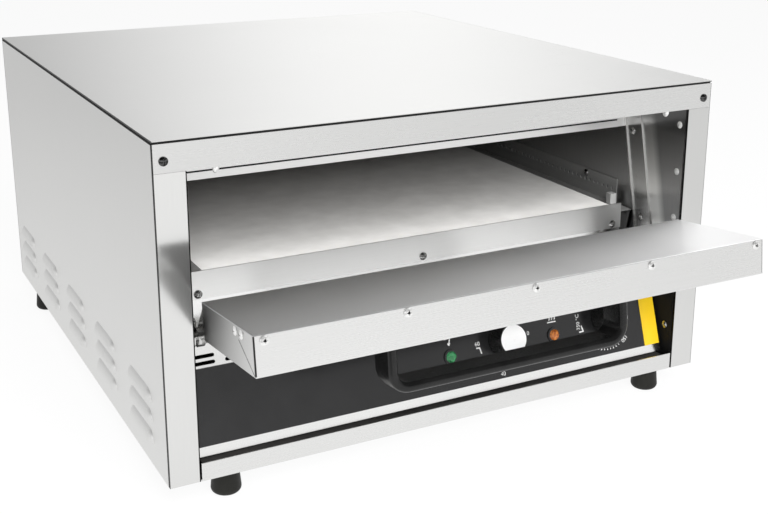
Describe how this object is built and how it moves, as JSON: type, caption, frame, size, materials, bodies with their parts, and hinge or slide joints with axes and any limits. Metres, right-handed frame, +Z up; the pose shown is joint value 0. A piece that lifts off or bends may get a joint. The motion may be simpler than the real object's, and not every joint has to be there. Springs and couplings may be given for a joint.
{
  "type": "countertop pizza oven",
  "caption": "Low stainless countertop pizza oven with a drop-down front door on pivot pins, bridge handle, hearth plate, louvred sides and a slanted control panel with knobs and lamps.",
  "frame": {"origin": "middle of the overall box's footprint, on the plane that the feet stand on, with the door open", "axes": "+X to the right seen from the front, +Y from the front to the back, +Z up"},
  "size_m": [0.589, 0.7725, 0.334],
  "materials": {
    "stainless": "fine brushed",
    "inner_steel": "matt, a little discoloured",
    "plated_steel": "zinc plated",
    "dark_screw": "blackened",
    "rubber": "matt",
    "black_panel": "satin film with white dial scales",
    "yellow": "plain film",
    "black_plastic": "satin",
    "bright_cap": "spun",
    "green_glass": "clear coloured lens",
    "amber_glass": "clear coloured lens",
    "element_sheath": "heat-dulled sheath",
    "ceramic": "unglazed ceramic",
    "hearth_stone": "fine refractory stone",
    "insulation": "mineral fibre board"
  },
  "bodies": {
    "cabinet": {"amber_lens": "amber_glass", "back_insulation": "insulation", "back_panel": "stainless", "base_pan": "stainless", "bottom_insulation": "insulation", "bottom_rail": "stainless", "cabinet_screws": "plated_steel", "cable_gland": "black_plastic", "chamber_back": "inner_steel", "chamber_ceiling": "inner_steel", "control_panel": "black_panel", "door_stops": "plated_steel", "element_bushes": "ceramic", "element_clips": "plated_steel", "fascia": "stainless", "feet": "rubber", "front_lip": "stainless", "green_lens": "green_glass", "header_strip": "stainless", "hearth_plate": "hearth_stone", "hearth_strip": "stainless", "hinge_bushes": "plated_steel", "lamp_housings": "black_plastic", "left_inner_wall": "inner_steel", "left_jamb": "stainless", "left_post": "stainless", "left_rail": "inner_steel", "left_side_panel": "stainless", "lip_screws": "dark_screw", "lower_element": "element_sheath", "lower_tray": "inner_steel", "right_inner_wall": "inner_steel", "right_jamb": "stainless", "right_post": "stainless", "right_rail": "inner_steel", "right_side_panel": "stainless", "side_insulation": "insulation", "terminal_block": "ceramic", "thermostat_body": "black_plastic", "thermostat_bulb": "plated_steel", "timer_body": "black_plastic", "top_insulation": "insulation", "top_panel": "stainless", "upper_element": "element_sheath", "wall_rivets": "plated_steel", "yellow_strip": "yellow"},
    "door": {"door_pan": "stainless", "door_inner_skin": "stainless", "door_insulation": "insulation", "door_screws": "plated_steel", "door_handle": "black_plastic", "left_hinge_arm": "plated_steel", "right_hinge_arm": "plated_steel", "hinge_pins": "plated_steel"},
    "timer_control": {"timer_knob": "black_plastic", "timer_cap": "bright_cap", "timer_shaft": "plated_steel"},
    "thermostat_control": {"thermostat_knob": "black_plastic", "thermostat_cap": "bright_cap", "thermostat_shaft": "plated_steel"}
  },
  "joints": [
    {"name": "door_hinge", "type": "hinge", "parent": "cabinet", "child": "door", "pos_m": [0, -0.2377, 0.1515], "axis": [-1, 0, 0], "range_deg": [0, 96.5]},
    {"name": "timer_turn", "type": "hinge", "parent": "cabinet", "child": "timer_control", "pos_m": [0.0667, -0.23379, 0.0866], "axis": [0, 0.9483, -0.3173], "range_deg": [0, 270]},
    {"name": "thermostat_turn", "type": "hinge", "parent": "cabinet", "child": "thermostat_control", "pos_m": [0.1925, -0.23379, 0.0866], "axis": [0, 0.9483, -0.3173], "range_deg": [0, 270]}
  ]
}
